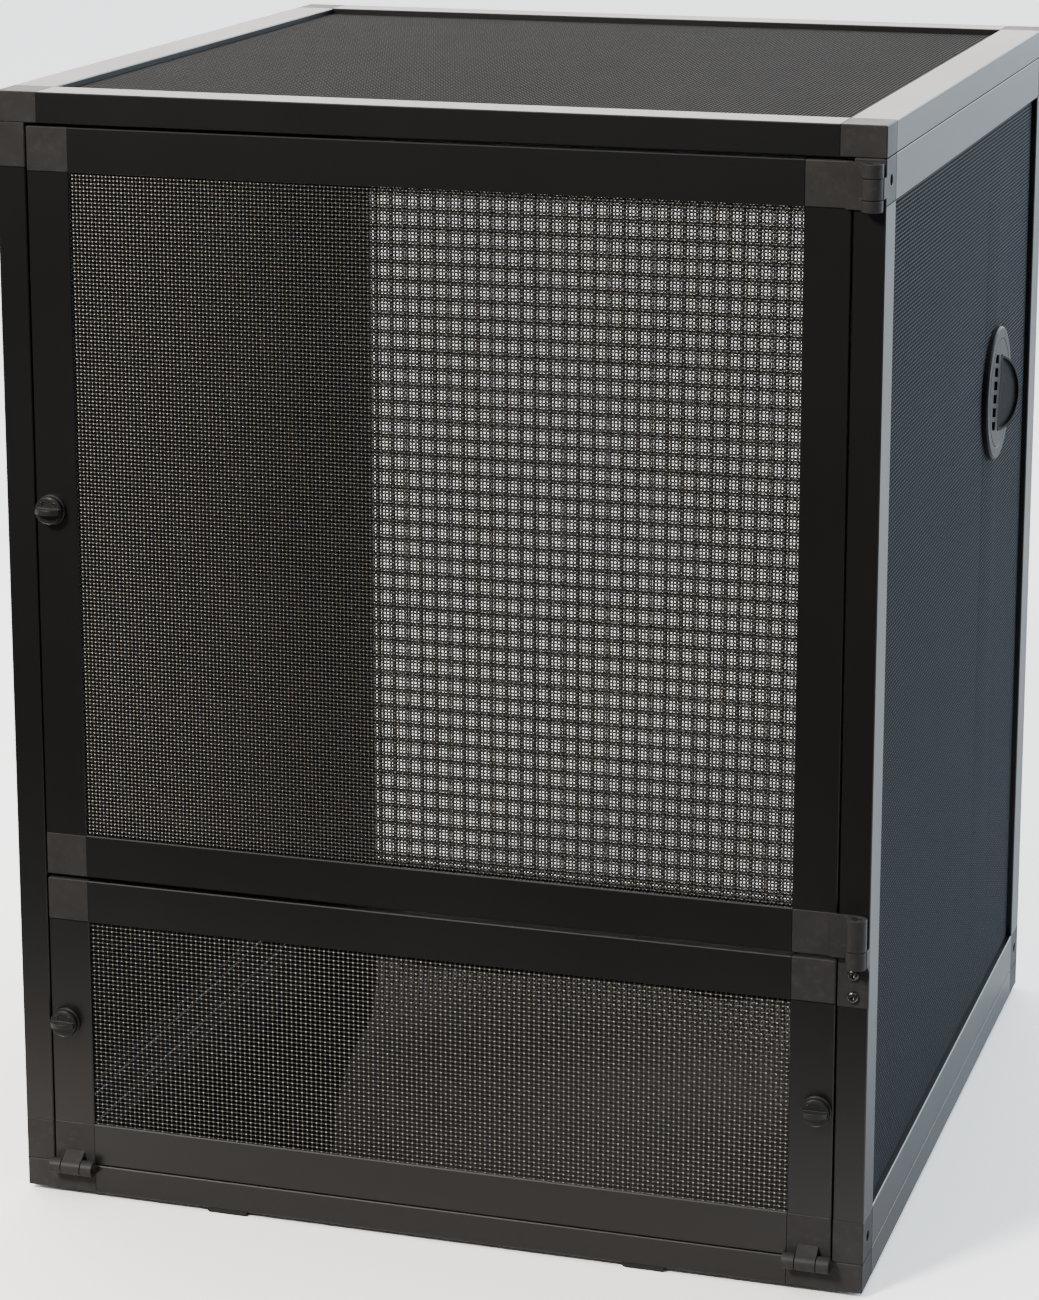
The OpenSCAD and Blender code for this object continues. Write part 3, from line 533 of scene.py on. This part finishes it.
def smooth(piece, degrees):
    make_active(piece)
    bpy.ops.object.shade_smooth_by_angle(angle=math.radians(degrees))


def dress(piece, material):
    piece.data.materials.clear()
    piece.data.materials.append(material)


def paint_nodes(names, material):
    for name in names:
        dress(frame["nodes"][name], material)


def join(pieces, name):
    deselect_all()
    for piece in pieces:
        piece.select_set(True)
    joined = pieces[0]
    bpy.context.view_layer.objects.active = joined
    bpy.ops.object.join()
    joined.name = name
    joined.data.name = name
    return joined


def moulded_copy(node, width, segments=2):
    """A copy of a node with merged faces and rounded edges, which stands for the node."""
    source = frame["nodes"][node]
    piece = source.copy()
    piece.data = source.data.copy()
    piece.parent = None
    piece.name = node + "_moulded"
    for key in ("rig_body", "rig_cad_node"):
        if key in piece:
            del piece[key]
    bpy.context.scene.collection.objects.link(piece)
    make_active(piece)
    bpy.ops.object.mode_set(mode="EDIT")
    bpy.ops.mesh.select_mode(type="VERT")
    bpy.ops.mesh.select_all(action="SELECT")
    bpy.ops.mesh.remove_doubles(threshold=WELD)
    bpy.ops.mesh.dissolve_limited(angle_limit=math.radians(FLAT_DEGREES))
    bpy.ops.mesh.normals_make_consistent(inside=False)
    bpy.ops.object.mode_set(mode="OBJECT")
    edges = piece.modifiers.new("Edges", "BEVEL")
    edges.width = width
    edges.segments = segments
    edges.limit_method = "ANGLE"
    edges.angle_limit = math.radians(EDGE_DEGREES)
    edges.use_clamp_overlap = False
    apply_modifiers(piece)
    smooth(piece, MOULDED_DEGREES)
    flats = piece.modifiers.new("Flats", "WEIGHTED_NORMAL")
    flats.mode = "FACE_AREA"
    flats.keep_sharp = True
    apply_modifiers(piece)
    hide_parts(node)
    return piece


def body_name(node):
    """The body that a node belongs to."""
    for body, members in frame["record"]["behaviour"]["bodies"].items():
        if node in members:
            return body
    raise RuntimeError("no body holds " + node)


def wire_row(start, end, step, count, radius, sides=8):
    """A straight wire from start to end, and its copies, each one step further on."""
    run = end - start
    bpy.ops.mesh.primitive_cylinder_add(
        vertices=sides, radius=radius, depth=run.length, location=(start + end) / 2,
        rotation=run.to_track_quat("Z", "Y").to_euler())
    row = bpy.context.object
    keep_place(row)
    copies = row.modifiers.new("Row", "ARRAY")
    copies.use_relative_offset = False
    copies.use_constant_offset = True
    copies.constant_offset_displace = step
    copies.count = count
    apply_modifiers(row)
    return row


def cut_hole(piece, centre, axis, radius):
    """Cuts a round hole through a piece."""
    bpy.ops.mesh.primitive_cylinder_add(
        vertices=48, radius=radius, depth=HOLE_DEPTH, location=centre,
        rotation=axis.to_track_quat("Z", "Y").to_euler())
    cutter = bpy.context.object
    keep_place(cutter)
    cut = piece.modifiers.new("Cut", "BOOLEAN")
    cut.operation = "DIFFERENCE"
    cut.solver = "EXACT"
    cut.object = cutter
    apply_modifiers(piece)
    bpy.data.objects.remove(cutter)


def woven_panel(node, across, up, thickness, axes, outside, hole):
    """Woven wires in a panel: upright ones along axes[1] and level ones along axes[0].

    Gives the panel and the places of its first wires, along both axes.
    """
    low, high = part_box(node)
    size = high - low
    middle = (low + high) / 2
    facing = 3 - axes[0] - axes[1]
    radius = thickness / 2
    level, upright = AXES[axes[0]], AXES[axes[1]]
    normal = AXES[facing] * outside
    half_level, half_upright = size[axes[0]] / 2, size[axes[1]] / 2
    step_out = max(0.0, size[facing] / 2 - radius)
    count_level = int(size[axes[0]] / across)
    count_upright = int(size[axes[1]] / up)
    span_level = across * (count_level - 1)
    span_upright = up * (count_upright - 1)
    first = middle - level * (span_level / 2) + normal * step_out
    uprights = wire_row(first - upright * half_upright, first + upright * half_upright,
                        level * across, count_level, radius)
    first = middle - upright * (span_upright / 2) - normal * step_out
    levels = wire_row(first - level * half_level, first + level * half_level,
                      upright * up, count_upright, radius)
    if hole is not None:
        for row in (uprights, levels):
            cut_hole(row, hole[0], normal, hole[1])
    panel = join([uprights, levels], node + "_woven")
    smooth(panel, ROUND_DEGREES)
    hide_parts(node)
    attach(panel, body_name(node))
    return panel, (middle[axes[0]] - span_level / 2, middle[axes[1]] - span_upright / 2)


def seam_shadow_strips(levels):
    """Thin dark strips in the level seams at the sides and the back of the cage, which paint the shade in
    the seams.
    """
    low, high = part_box("lid_corners")
    inset, width, thickness = 0.05 * MM, 0.8 * MM, 0.6 * MM
    depth = high.y - low.y - 2 * inset
    length = high.x - low.x - 2 * width - 2 * inset
    side = inset + width / 2
    arms = []
    for z in levels:
        for x in (low.x + side, high.x - side):
            arms.append(((x, (low.y + high.y) / 2, z), (width, depth, thickness)))
        arms.append(((0, high.y - side, z), (length, width, thickness)))
    pieces = []
    for place, size in arms:
        bpy.ops.mesh.primitive_cube_add(size=1, location=place, scale=size)
        arm = bpy.context.object
        keep_place(arm)
        edges = arm.modifiers.new("Edges", "BEVEL")
        edges.width = SEAM_SHADOW_EDGE
        apply_modifiers(arm)
        pieces.append(arm)
    return join(pieces, "seam_shadow_strips")


def bead_arc(centre, radius, bead, start, sweep):
    """A raised half-round bead that runs along an arc on a face that looks to -Y."""
    place = centre + Vector((math.cos(start), 0, math.sin(start))) * radius
    bpy.ops.mesh.primitive_circle_add(vertices=10, radius=bead, fill_type="NGON", location=place)
    arc = bpy.context.object
    keep_place(arc)
    bpy.ops.object.mode_set(mode="EDIT")
    bpy.ops.mesh.select_all(action="SELECT")
    # The disc is turned so that the arc leaves it squarely
    bpy.ops.transform.rotate(value=-start, orient_axis="Y", center_override=place)
    bpy.ops.mesh.spin(steps=28, angle=sweep, center=centre, axis=(0, 1, 0))
    bpy.ops.mesh.select_all(action="SELECT")
    bpy.ops.mesh.remove_doubles(threshold=0.001 * MM)
    bpy.ops.mesh.normals_make_consistent(inside=False)
    # The spin gives its faces in another order each run, so they are put in one order
    bpy.ops.mesh.sort_elements(type="CURSOR_DISTANCE", elements={"VERT", "EDGE", "FACE"})
    bpy.ops.object.mode_set(mode="OBJECT")
    smooth(arc, ROUND_DEGREES)
    return arc


def bead_ring(place, radius, bead, sides=20):
    """A raised half-round ring on a face that looks to -Y."""
    bpy.ops.mesh.primitive_torus_add(
        major_radius=radius, minor_radius=bead, major_segments=sides, minor_segments=8,
        location=place, rotation=(math.pi / 2, 0, 0))
    ring = bpy.context.object
    keep_place(ring)
    smooth(ring, ROUND_DEGREES)
    return ring


def knurls(centre):
    """Fine ridges round a disc that looks to -Y."""
    half = KNURL_LENGTH / 2
    rib = wire_row(centre + Vector((KNURL_RADIUS, -half, 0)), centre + Vector((KNURL_RADIUS, half, 0)),
                   AXES[2], 1, KNURL_BEAD, sides=6)
    bpy.ops.object.mode_set(mode="EDIT")
    bpy.ops.mesh.select_all(action="SELECT")
    others = KNURL_COUNT - 1
    bpy.ops.mesh.spin(
        steps=others, angle=2 * math.pi * others / KNURL_COUNT, center=centre, axis=(0, 1, 0), dupli=True)
    bpy.ops.object.mode_set(mode="OBJECT")
    return rib


# Operators

class TERRARIUM_OT_frames(bpy.types.Operator):
    """Paints the tube frames and gives the plain corners their moulded plastic"""
    bl_idname = "terrarium.frames"
    bl_label = "Frames and corners"

    def execute(self, context):
        colours = context.scene.terrarium_colours
        paint_nodes(RAILS, satin_paint(colours.paint))
        paint_nodes(CORNERS, moulded_plastic("corner_moulding", colours.moulding))
        return {"FINISHED"}


class TERRARIUM_OT_strips(bpy.types.Operator):
    """Finishes the strips that hold the mesh, the feet and the floor sheet, and paints shade into the seams
    with thin dark strips
    """
    bl_idname = "terrarium.strips"
    bl_label = "Strips, feet and floor sheet"

    def execute(self, context):
        colours = context.scene.terrarium_colours
        rubber = soft_rubber(colours.rubber)
        paint_nodes(SPLINES, rubber)
        feet = moulded_copy("feet", FOOT_EDGE)
        dress(feet, rubber)
        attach(feet, "cage")
        paint_nodes(("floor_sheet",), floor_plastic(colours.sheet))
        # Thin dark strips paint the shade in the level seams under the lid and above the base
        seam_shadows = seam_shadow_strips((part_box("lid_side_rails")[0].z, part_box("base_side_rails")[1].z))
        dress(seam_shadows, seam_shadow_paint())
        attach(seam_shadows, "cage")
        return {"FINISHED"}


class TERRARIUM_OT_meshes(bpy.types.Operator):
    """Weaves the wire mesh of the six panels"""
    bl_idname = "terrarium.meshes"
    bl_label = "Woven mesh"

    def execute(self, context):
        sizes = context.scene.terrarium_wires
        colours = context.scene.terrarium_colours
        tall_door = (sizes.door_across, sizes.door_up, sizes.door_wire)
        low_door = (sizes.low_across, sizes.low_up, sizes.low_wire)
        plain = (sizes.panel_pitch, sizes.panel_pitch, sizes.panel_wire)
        upright_x, upright_y, flat = (0, 2), (1, 2), (0, 1)
        low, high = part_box("port_ring")
        port = ((low + high) / 2, (high - low).z / 2 - PORT_FLANGE)
        # Node, weave, axes, the side that looks out, hole, gloss and strength of the painted knuckle
        # highlights
        rows = (
            ("upper_door_mesh", tall_door, upright_x, -1, None, 0.5, (1.25, 0.42)),
            ("lower_door_mesh", low_door, upright_x, -1, None, 0.5, (0.5, 0.75)),
            ("back_mesh", plain, upright_x, 1, None, 0.1, (0.15, 0.15)),
            ("left_mesh", plain, upright_y, -1, None, 0.1, (0.2, 0.2)),
            ("right_mesh", plain, upright_y, 1, port, 0.1, (0.02, 0.02)),
            ("lid_mesh", plain, flat, 1, None, 0.07, (0.04, 0.04)),
        )
        for node, (across, up, thickness), axes, outside, hole, gloss, highlight_strength in rows:
            panel, starts = woven_panel(node, across, up, thickness, axes, outside, hole)
            # The right panel's wire gets a lighter, bluer colour: painted cool light on that side
            wire_colour = colours.lit_side_wire if node == "right_mesh" else colours.wire
            dress(panel, coated_wire(node + "_wire", wire_colour, (across, up), axes, starts, gloss, highlight_strength))
        return {"FINISHED"}


class TERRARIUM_OT_hinges(bpy.types.Operator):
    """Rounds the edges of the hinge corners and of the bracket"""
    bl_idname = "terrarium.hinges"
    bl_label = "Hinges"

    def execute(self, context):
        plastic = moulded_plastic("hinge_moulding", context.scene.terrarium_colours.moulding)
        for node in HINGE_PARTS:
            piece = moulded_copy(node, HINGE_EDGE)
            dress(piece, plastic)
            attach(piece, body_name(node))
        return {"FINISHED"}


class TERRARIUM_OT_screws(bpy.types.Operator):
    """Finishes the screws and hinge pins"""
    bl_idname = "terrarium.screws"
    bl_label = "Screws and pins"

    def execute(self, context):
        steel = blackened_steel(context.scene.terrarium_colours.steel)
        for node in PINS:
            piece = moulded_copy(node, PIN_EDGE)
            dress(piece, steel)
            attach(piece, "cage")
        return {"FINISHED"}


class TERRARIUM_OT_latches(bpy.types.Operator):
    """Rounds the latch knobs and cams, and gives the knobs their rims, ridges and marks"""
    bl_idname = "terrarium.latches"
    bl_label = "Latches"

    def execute(self, context):
        colour = shade(context.scene.terrarium_colours.moulding, 0.55)
        plastic = moulded_plastic("latch_moulding", colour, grain=1800, rough=0.36, gloss=0.5)
        for latch in LATCHES:
            knob = self.knob(latch + "_knob")
            dress(knob, plastic)
            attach(knob, latch)
            cam = moulded_copy(latch + "_cam", CAM_EDGE)
            dress(cam, plastic)
            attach(cam, latch)
        return {"FINISHED"}

    def knob(self, node):
        """A knob with a raised arc that ends in two rings, a rim and fine ridges round it."""
        low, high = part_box(node)
        middle = (low + high) / 2
        face = Vector((middle.x, low.y + FACE_BACK, middle.z))
        parts = [moulded_copy(node, KNOB_EDGE, segments=3)]
        parts.append(bead_arc(face, ARC_RADIUS, ARC_BEAD, ARC_START, math.pi - 2 * ARC_START))
        for side in (-1, 1):
            end = face + Vector((math.cos(ARC_START) * side, 0, math.sin(ARC_START))) * ARC_RADIUS
            parts.append(bead_ring(end, END_RADIUS, END_BEAD))
        parts.append(bead_ring(face + Vector((0, RIM_BACK, 0)), RIM_RADIUS, RIM_BEAD, sides=64))
        parts.append(knurls(face + Vector((0, KNURL_BACK, 0))))
        piece = join(parts, node + "_moulded")
        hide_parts(node)
        return piece


class TERRARIUM_OT_port(bpy.types.Operator):
    """Rounds the ring, nut, cap and flap of the cable port"""
    bl_idname = "terrarium.port"
    bl_label = "Cable port"

    def execute(self, context):
        colour = shade(context.scene.terrarium_colours.moulding, 0.42)
        plastic = moulded_plastic("port_moulding", colour, grain=2600, rough=0.40, gloss=0.13)
        for node in PORT_PARTS:
            piece = moulded_copy(node, PORT_EDGE, segments=3)
            dress(piece, plastic)
            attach(piece, body_name(node))
        return {"FINISHED"}


class TERRARIUM_OT_studio(bpy.types.Operator):
    """Lays the pale floor, sets the soft light and the camera"""
    bl_idname = "terrarium.studio"
    bl_label = "Studio"

    def execute(self, context):
        studio = context.scene.terrarium_studio
        deselect_all()
        bpy.ops.mesh.primitive_plane_add(size=FLOOR_SIZE, location=FLOOR_PLACE)
        floor = bpy.context.object
        floor.name = "studio_floor"
        keep_place(floor)
        dress(floor, self.floor_finish(studio))
        self.surround(context, studio)
        self.lamp("softbox_above", (0.0, 0.2, 2.4), 2.2, studio.softbox, WHITE)
        self.lamp("key_light", (-1.1, -2.3, 2.1), 0.5, studio.key, WARM_LAMP)
        self.camera(context)
        return {"FINISHED"}

    def floor_finish(self, studio):
        """Pale behind and near the terrarium and dark far in front of it; the camera sees it evenly pale."""
        floor = Finish("studio_floor")
        y = floor.split(floor.place())[1]
        ahead = floor.mix(floor.spread(y, -0.62, -0.24), floor.matte(DARK_FLOOR), floor.matte(studio.floor))
        lit = floor.mix(floor.spread(y, -0.2, 0.1), ahead, floor.matte(COOL_FLOOR))
        seen = floor.matte((studio.lift, studio.lift, studio.lift))
        return floor.end_in(floor.mix(floor.camera_ray(), lit, seen))

    def surround(self, context, studio):
        """Warm and cool behind, dark ahead and dim above; the camera sees it evenly pale."""
        world = bpy.data.worlds.new("studio_surround")
        world.use_nodes = True
        context.scene.world = world
        sky = Maker(world.node_tree)
        x, y, z = sky.split(sky.node("ShaderNodeTexCoord", out="Generated"))
        warm = sky.glow(WARM_WALL, studio.behind)
        cool = sky.glow(COOL_WALL, studio.behind * COOL_GAIN)
        behind = sky.mix(sky.spread(x, -0.3, 0.4), warm, cool)
        level = sky.mix(sky.spread(y, 0.0, 0.7), sky.glow(ROSE_WALL, studio.ahead), behind)
        light = sky.mix(sky.spread(z, 0.35, 0.9), level, sky.glow(WHITE, studio.overhead))
        seen = sky.glow(WHITE, studio.open_view)
        sky.node("ShaderNodeOutputWorld", None, {"Surface": sky.mix(sky.camera_ray(), light, seen)})

    def lamp(self, name, place, size, power, colour):
        """A square light that looks at the middle of the terrarium."""
        aim = LIGHT_AIM - Vector(place)
        bpy.ops.object.light_add(
            type="AREA", location=place, rotation=aim.to_track_quat("-Z", "Y").to_euler())
        light = bpy.context.object
        light.name = name
        light.data.shape = "SQUARE"
        light.data.size = size
        light.data.energy = power
        light.data.color = colour

    def camera(self, context):
        """The camera at the photograph's angle."""
        bpy.ops.object.camera_add(
            location=CAMERA_PLACE, rotation=(math.pi / 2 - CAMERA_DOWN, 0, CAMERA_TURN))
        camera = bpy.context.object
        camera.name = "photo_camera"
        camera.data.lens = FOCAL_PIXELS * SENSOR / PHOTO_HEIGHT
        camera.data.sensor_width = SENSOR
        camera.data.sensor_fit = "AUTO"
        camera.data.shift_y = (AXIS_ROW - PHOTO_HEIGHT / 2) / PHOTO_HEIGHT
        camera.data.clip_end = 50
        camera.data.dof.use_dof = False
        context.scene.camera = camera


class TERRARIUM_PT_sidebar(bpy.types.Panel):
    """Lists the sizes, the colours and the steps"""
    bl_idname = "TERRARIUM_PT_sidebar"
    bl_label = "Terrarium"
    bl_space_type = "VIEW_3D"
    bl_region_type = "UI"
    bl_category = "Terrarium"

    def draw(self, context):
        for name in GROUPS:
            group = getattr(context.scene, name)
            box = self.layout.box()
            for size in group.__annotations__:
                box.prop(group, size)
        for step in STEPS:
            self.layout.operator(step.bl_idname)


STEPS = (
    TERRARIUM_OT_frames, TERRARIUM_OT_strips, TERRARIUM_OT_meshes, TERRARIUM_OT_hinges,
    TERRARIUM_OT_screws, TERRARIUM_OT_latches, TERRARIUM_OT_port, TERRARIUM_OT_studio,
)
GROUPS = {
    "terrarium_wires": WireSizes,
    "terrarium_colours": FinishColours,
    "terrarium_studio": StudioSettings,
}


def register():
    for kind in (*GROUPS.values(), *STEPS, TERRARIUM_PT_sidebar):
        bpy.utils.register_class(kind)
    for name, group in GROUPS.items():
        setattr(bpy.types.Scene, name, bpy.props.PointerProperty(type=group))


def unregister():
    for name in GROUPS:
        delattr(bpy.types.Scene, name)
    for kind in (TERRARIUM_PT_sidebar, *reversed(STEPS), *reversed(GROUPS.values())):
        bpy.utils.unregister_class(kind)


def main():
    register()
    for step in STEPS:
        getattr(bpy.ops.terrarium, step.bl_idname.split(".")[1])()


if __name__ == "__main__":
    main()
